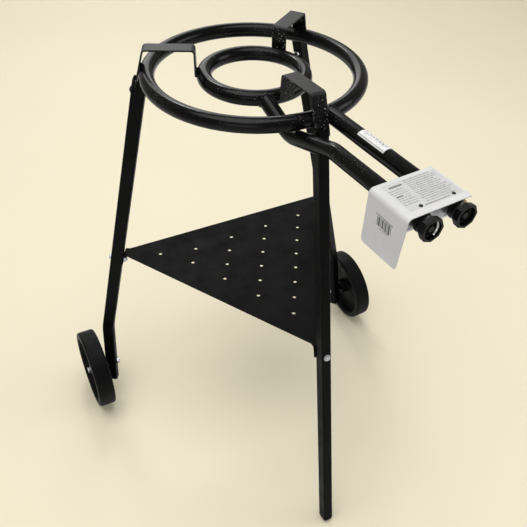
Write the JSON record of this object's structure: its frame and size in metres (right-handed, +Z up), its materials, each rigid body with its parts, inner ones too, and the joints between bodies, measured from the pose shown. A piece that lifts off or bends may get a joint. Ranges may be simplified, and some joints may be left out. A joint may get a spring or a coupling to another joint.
{
  "type": "propane burner stand",
  "caption": "Concentric-ring gas burner with raised pan brackets on a wheeled tripod stand with a pierced triangular shelf and a white control box with knobs.",
  "frame": {"origin": "on the floor, under the middle of the stand's overall box; the common axis of the two burner rings stands at x -0.0062, y 0.1283 m", "axes": "+Z up, -Y from the ring centre towards the single foot and the control box, +X along the line of the two wheels towards the right-hand wheel"},
  "size_m": [0.7511, 0.7627, 0.9044],
  "materials": {
    "burner_enamel": "gloss black stoving enamel",
    "bracket_enamel": "black hammered enamel",
    "leg_paint": "satin black powder coat",
    "shelf_paint": "satin black powder coat",
    "cap_plastic": "matt black polyethylene",
    "wheel_plastic": "matt black polypropylene",
    "bush_plastic": "natural nylon",
    "zinc": "bright zinc plate",
    "black_bolt": "black oxide",
    "galvanised": "galvanised sheet",
    "white_enamel": "gloss white enamel",
    "brass": "turned brass",
    "spring_steel": "drawn wire",
    "knob_plastic": "satin black phenolic"
  },
  "bodies": {
    "stand": {"outer_ring": "burner_enamel", "inner_ring": "burner_enamel", "outer_feed_pipe": "burner_enamel", "inner_feed_pipe": "burner_enamel", "pot_bracket_front": "bracket_enamel", "pot_bracket_left": "bracket_enamel", "pot_bracket_right": "bracket_enamel", "leg_front": "leg_paint", "leg_left": "leg_paint", "leg_right": "leg_paint", "foot_cap": "cap_plastic", "leg_end_plugs": "cap_plastic", "leg_top_bolts": "black_bolt", "leg_top_nuts": "zinc", "shelf": "shelf_paint", "shelf_bolts": "zinc", "shelf_nuts": "zinc", "axle_sleeves": "leg_paint", "axle_bolts": "zinc", "axle_nuts": "zinc", "axle_washers": "zinc", "control_bracket": "galvanised", "control_cover": "white_enamel", "cover_screws": "black_bolt", "gas_manifold": "zinc", "hose_nozzle": "brass", "valve_collars": "brass", "injectors": "brass", "valve_body_left": "brass", "valve_body_right": "brass"},
    "wheel_left": {"wheel_left": "wheel_plastic", "wheel_bush_left": "bush_plastic"},
    "wheel_right": {"wheel_right": "wheel_plastic", "wheel_bush_right": "bush_plastic"},
    "valve_rotor_left": {"valve_plug_left": "brass"},
    "knob_left": {"knob_left": "knob_plastic", "spindle_left": "zinc", "spindle_spring_left": "spring_steel"},
    "valve_rotor_right": {"valve_plug_right": "brass"},
    "knob_right": {"knob_right": "knob_plastic", "spindle_right": "zinc", "spindle_spring_right": "spring_steel"}
  },
  "joints": [
    {"name": "wheel_left_spin", "type": "hinge", "parent": "stand", "child": "wheel_left", "pos_m": [-0.3562, 0.2883, 0.09312], "axis": [-1, 0, 0.0087], "continuous": true},
    {"name": "wheel_right_spin", "type": "hinge", "parent": "stand", "child": "wheel_right", "pos_m": [0.3488, 0.2783, 0.09386], "axis": [0.9965, 0, 0.0837], "continuous": true},
    {"name": "valve_left_turn", "type": "hinge", "parent": "stand", "child": "valve_rotor_left", "pos_m": [-0.00017, -0.33064, 0.86], "axis": [0.0785, -0.9969, 0], "range_deg": [0, 210]},
    {"name": "knob_left_push", "type": "slide", "parent": "valve_rotor_left", "child": "knob_left", "axis": [-0.0785, 0.9969, 0], "range_m": [0, 0.003], "stiffness_N_per_m": 2000, "springref_m": -0.002, "deforming": ["spindle_spring_left"]},
    {"name": "valve_right_turn", "type": "hinge", "parent": "stand", "child": "valve_rotor_right", "pos_m": [0.05964, -0.32593, 0.86], "axis": [0.0785, -0.9969, 0], "range_deg": [0, 210]},
    {"name": "knob_right_push", "type": "slide", "parent": "valve_rotor_right", "child": "knob_right", "axis": [-0.0785, 0.9969, 0], "range_m": [0, 0.003], "stiffness_N_per_m": 2000, "springref_m": -0.002, "deforming": ["spindle_spring_right"]}
  ]
}
